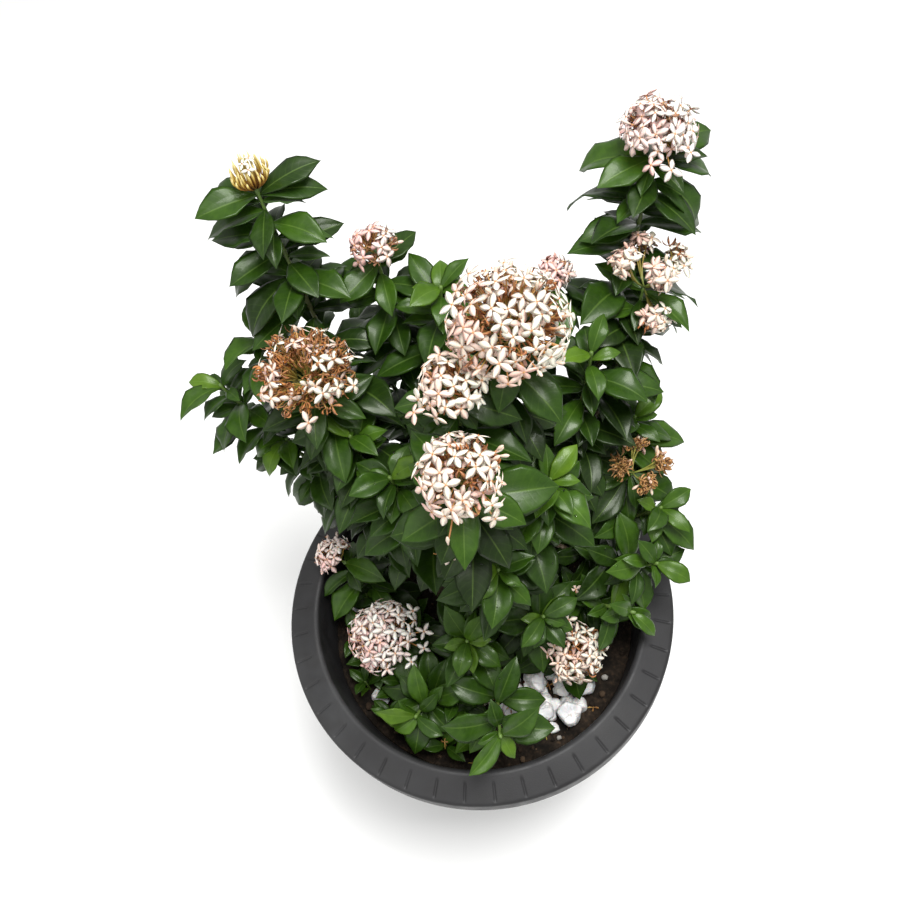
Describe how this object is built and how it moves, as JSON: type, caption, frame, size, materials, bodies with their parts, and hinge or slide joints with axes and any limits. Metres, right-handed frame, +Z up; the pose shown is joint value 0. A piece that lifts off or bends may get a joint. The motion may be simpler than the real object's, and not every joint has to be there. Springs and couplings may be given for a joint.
{
  "type": "potted flowering plant",
  "caption": "Dwarf ixora bush with glossy opposite leaves and domed heads of small four-petalled flowers, in a round dark plastic planter filled with soil.",
  "frame": {"origin": "centre of the planter's underside, on the surface it stands on", "axes": "+Z up; +Y towards the side where the two tallest shoots lean out; -Y towards the open side of the soil with the pebbles"},
  "size_m": [0.5392, 0.4852, 0.7353],
  "materials": {
    "planter": "charcoal moulded plastic, satin, with radial grooves on the rim",
    "soil": "damp dark potting mix, crumbly and matte",
    "marble": "chipped white marble, slightly rough",
    "bark": "thin grey-brown bark, matte, green towards the young ends",
    "leaves": "leathery dark green leaf, glossy on top, with a paler midrib",
    "white_petals": "soft matte petal, white with a faint pink tinge",
    "blush_petals": "soft matte petal, pale pink",
    "withering_petals": "orange-brown tubes and drying petals among white ones",
    "withered_petals": "dry shrivelled brown petals",
    "buds": "smooth yellow-green unopened buds"
  },
  "bodies": {
    "root": {"planter": "planter", "soil": "soil", "pebble_1": "marble", "pebble_2": "marble", "pebble_3": "marble", "pebble_4": "marble", "pebble_5": "marble", "pebble_6": "marble", "pebble_7": "marble", "pebble_8": "marble", "pebble_9": "marble", "woody_stem_left": "bark", "woody_stem_centre": "bark", "woody_stem_right": "bark", "woody_stem_back": "bark", "shoot_back_left": "leaves", "shoot_left_head": "leaves", "shoot_left_upper": "leaves", "shoot_left_outer": "leaves", "shoot_left_lower": "leaves", "shoot_left_inner": "leaves", "shoot_back_head": "leaves", "shoot_back_mid": "leaves", "shoot_back_right_head": "leaves", "shoot_back_low": "leaves", "shoot_back_low_right": "leaves", "shoot_top_head": "leaves", "shoot_mid_head": "leaves", "shoot_front_head": "leaves", "shoot_centre_right": "leaves", "shoot_centre_front": "leaves", "shoot_centre_left": "leaves", "shoot_tall_right": "leaves", "shoot_loose_head": "leaves", "shoot_right_mid": "leaves", "shoot_right_head": "leaves", "shoot_right_outer": "leaves", "shoot_right_low": "leaves", "shoot_right_front": "leaves", "shoot_low_right": "leaves", "shoot_low_mid_right": "leaves", "shoot_low_right_head": "leaves", "shoot_low_mid": "leaves", "shoot_low_front": "leaves", "shoot_low_left_front": "leaves", "shoot_low_left_head": "leaves", "shoot_left_wall_head": "leaves", "flowers_back_left": "buds", "flowers_left_head": "withering_petals", "flowers_back_head": "blush_petals", "flowers_back_right_head": "blush_petals", "flowers_top_head": "white_petals", "flowers_mid_head": "white_petals", "flowers_front_head": "white_petals", "flowers_tall_right": "blush_petals", "flowers_loose_head": "white_petals", "flowers_right_head": "withered_petals", "flowers_low_right_head": "white_petals", "flowers_low_left_head": "blush_petals", "flowers_left_wall_head": "blush_petals"}
  },
  "joints": []
}
